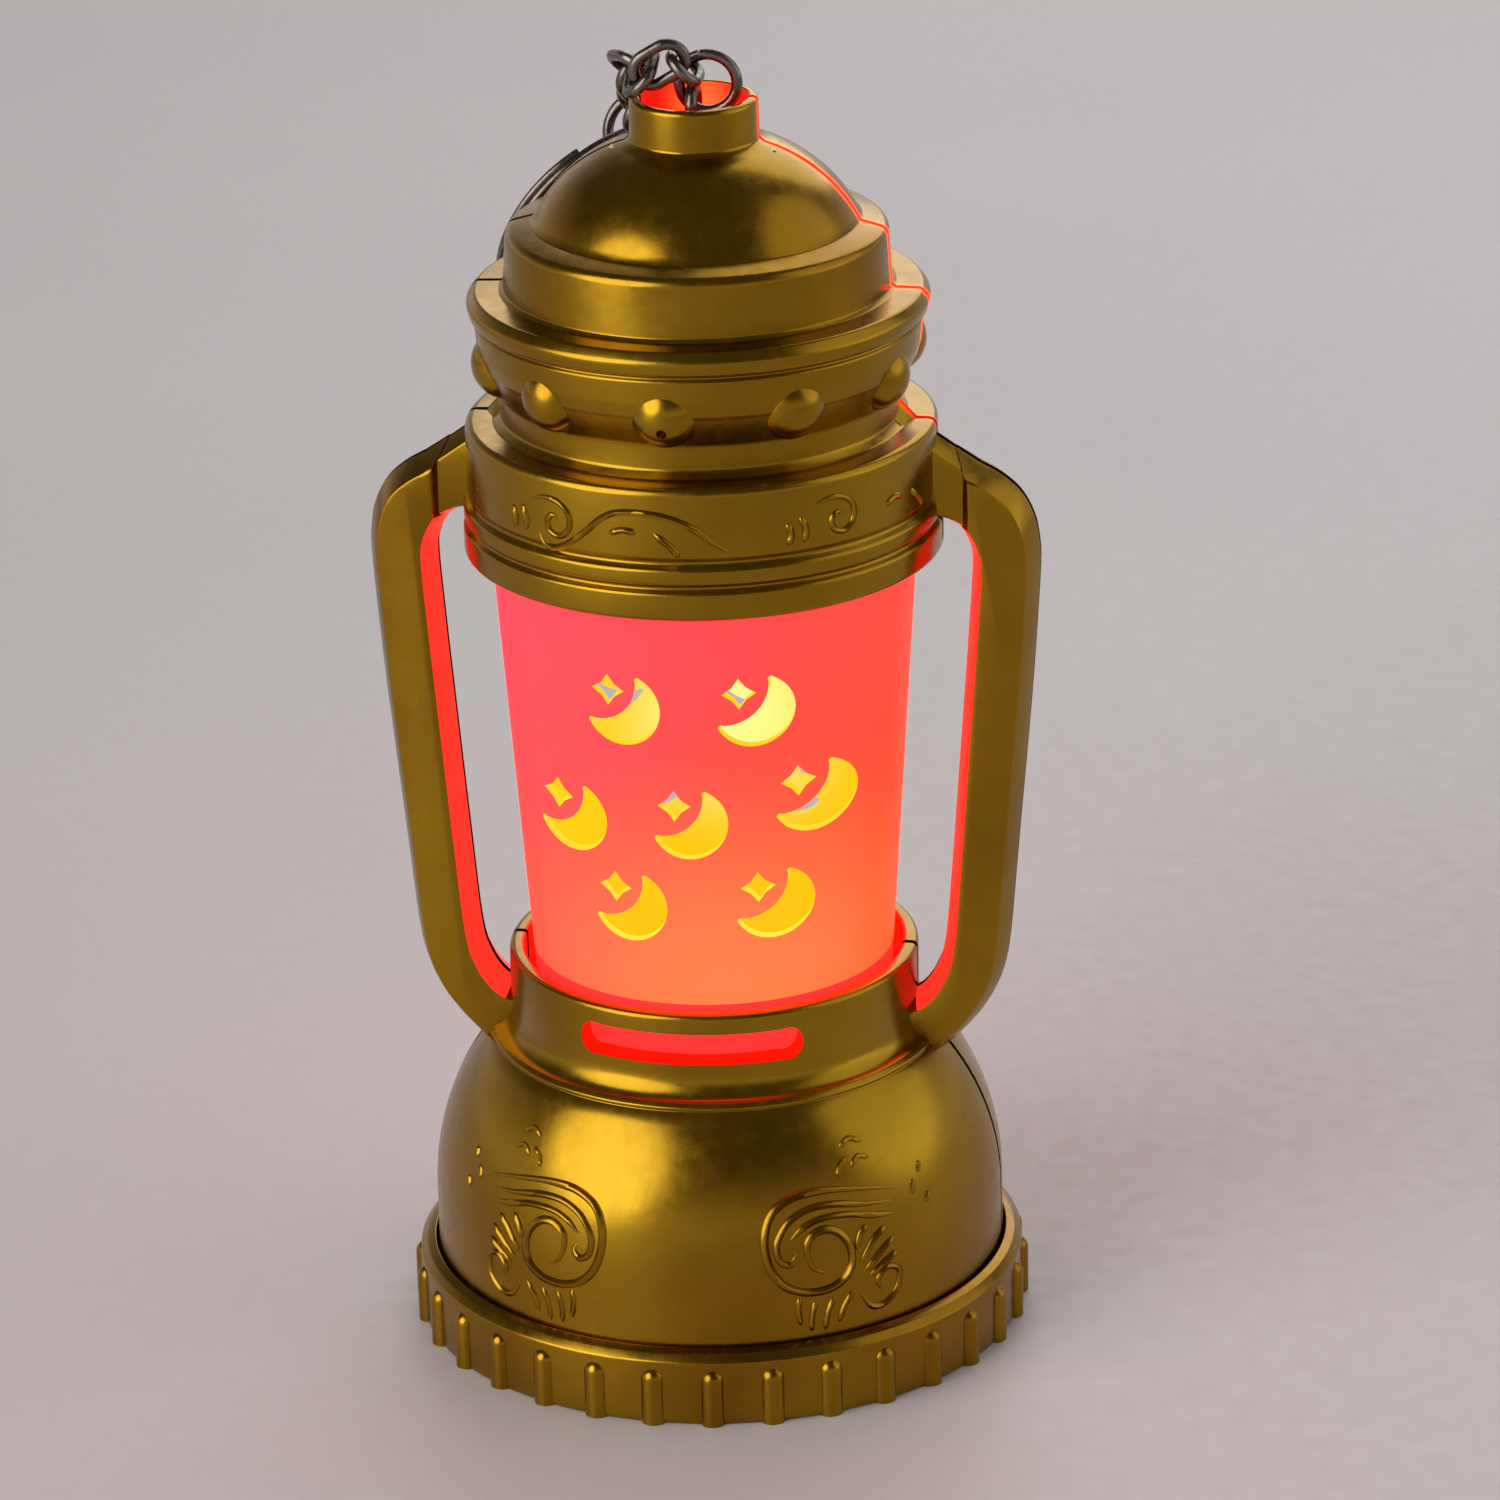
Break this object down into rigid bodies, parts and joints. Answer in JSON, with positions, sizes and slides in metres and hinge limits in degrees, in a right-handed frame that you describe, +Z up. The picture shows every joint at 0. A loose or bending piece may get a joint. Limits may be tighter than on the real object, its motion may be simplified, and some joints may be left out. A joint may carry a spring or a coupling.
{
  "type": "ramadan fanous lantern",
  "caption": "Toy oil-lantern with gold-plated shells, ribbed base cap, lit milky tube with moon and star cut-outs, two side handles and a key chain.",
  "frame": {"origin": "centre of the base, on the face that it stands on", "axes": "+Z up, -Y towards the front, +X to its right side seen from the front"},
  "size_m": [0.0594, 0.0556, 0.1187],
  "materials": {
    "gold_shell": "vacuum-plated gold over plastic, bright",
    "gold_cap": "vacuum-plated gold over plastic, bright",
    "milky_diffuser": "milky translucent, satin",
    "contact_steel": "nickel-plated strip",
    "screw_steel": "zinc-plated",
    "black_plastic": "fine moulded texture",
    "cell_steel": "bright nickel",
    "board_green": "solder mask",
    "lens_clear": "clear epoxy",
    "resistor_body": "fired film",
    "switch_frame": "tinned sheet",
    "red_sleeve": "soft insulation",
    "black_sleeve": "soft insulation",
    "chain_nickel": "nickel-plated wire"
  },
  "bodies": {
    "lantern": {"front_shell": "gold_shell", "back_shell": "gold_shell", "diffuser": "milky_diffuser", "base_cap": "gold_cap", "battery_holder": "black_plastic", "button_cell_1": "cell_steel", "button_cell_2": "cell_steel", "button_cell_3": "cell_steel", "contact_spring": "contact_steel", "top_contact": "contact_steel", "side_contact": "contact_steel", "led_board": "board_green", "led": "lens_clear", "resistor": "resistor_body", "switch_body": "switch_frame", "base_screws": "screw_steel", "holder_screws": "screw_steel", "shell_screws": "screw_steel", "wire_positive": "red_sleeve", "wire_negative": "black_sleeve", "wire_switch": "red_sleeve", "eye_pin": "chain_nickel"},
    "battery_door": {"battery_door": "gold_cap", "door_contact": "contact_steel"},
    "door_screw": {"door_screw": "screw_steel"},
    "switch_knob": {"switch_knob": "black_plastic"},
    "jump_ring": {"jump_ring": "chain_nickel"},
    "chain_link_1": {"chain_link_1": "chain_nickel"},
    "chain_link_2": {"chain_link_2": "chain_nickel"},
    "chain_link_3": {"chain_link_3": "chain_nickel"},
    "chain_link_4": {"chain_link_4": "chain_nickel"},
    "chain_link_5": {"chain_link_5": "chain_nickel"},
    "chain_link_6": {"chain_link_6": "chain_nickel"},
    "chain_link_7": {"chain_link_7": "chain_nickel"},
    "chain_link_8": {"chain_link_8": "chain_nickel"},
    "end_ring": {"end_ring": "chain_nickel"},
    "split_ring": {"split_ring": "chain_nickel"}
  },
  "joints": [
    {"name": "door_slide", "type": "slide", "parent": "lantern", "child": "battery_door", "axis": [0, 0, -1], "range_m": [0, 0.015]},
    {"name": "door_screw_turn", "type": "hinge", "parent": "battery_door", "child": "door_screw", "pos_m": [0.0117, 0.003, 0.001], "axis": [0, 0, 1], "continuous": true},
    {"name": "switch_slide", "type": "slide", "parent": "lantern", "child": "switch_knob", "axis": [1, 0, 0], "range_m": [0, 0.002]},
    {"name": "jump_ring_swing", "type": "hinge", "parent": "lantern", "child": "jump_ring", "pos_m": [0, 0, 0.1138], "axis": [0, -1, 0], "range_deg": [-12, 0]},
    {"name": "chain_link_1_swing", "type": "hinge", "parent": "jump_ring", "child": "chain_link_1", "pos_m": [-0.00048, 0, 0.11591], "axis": [0.7071, 0, 0.7071], "range_deg": [0, 4]},
    {"name": "chain_link_2_swing", "type": "hinge", "parent": "chain_link_1", "child": "chain_link_2", "pos_m": [-0.00151, -0.00237, 0.11693], "axis": [-0.183, 0.9659, 0.183], "range_deg": [0, 45]},
    {"name": "chain_link_3_swing", "type": "hinge", "parent": "chain_link_2", "child": "chain_link_3", "pos_m": [-0.00427, -0.0025, 0.11487], "axis": [0.683, 0.2588, -0.683], "range_deg": [0, 15]},
    {"name": "chain_link_4_swing", "type": "hinge", "parent": "chain_link_3", "child": "chain_link_4", "pos_m": [-0.00503, 0.0006, 0.11529], "axis": [-0.5209, -0.483, -0.7039], "range_deg": [-30, 0]},
    {"name": "chain_link_5_swing", "type": "hinge", "parent": "chain_link_4", "child": "chain_link_5", "pos_m": [-0.00586, 0.00342, 0.11397], "axis": [-0.845, 0.4085, 0.345], "range_deg": [-30, 0]},
    {"name": "chain_link_6_swing", "type": "hinge", "parent": "chain_link_5", "child": "chain_link_6", "pos_m": [-0.00565, 0.00589, 0.11157], "axis": [0.5344, 0.667, 0.5192], "range_deg": [0, 30]},
    {"name": "chain_link_7_swing", "type": "hinge", "parent": "chain_link_6", "child": "chain_link_7", "pos_m": [-0.00614, 0.00822, 0.10908], "axis": [0.845, -0.4085, -0.345], "range_deg": [0, 30]},
    {"name": "chain_link_8_swing", "type": "hinge", "parent": "chain_link_7", "child": "chain_link_8", "pos_m": [-0.00527, 0.01126, 0.10763], "axis": [-0.4718, -0.2661, -0.8406], "range_deg": [-12, 6]},
    {"name": "end_ring_swing", "type": "hinge", "parent": "chain_link_8", "child": "end_ring", "pos_m": [-0.00634, 0.01407, 0.10734], "axis": [-0.4617, -0.7377, 0.4926], "range_deg": [-45, 0]},
    {"name": "split_ring_swing", "type": "hinge", "parent": "end_ring", "child": "split_ring", "pos_m": [-0.00913, 0.01366, 0.10412], "axis": [-0.6034, 0.6683, 0.4351], "range_deg": [0, 50]}
  ]
}
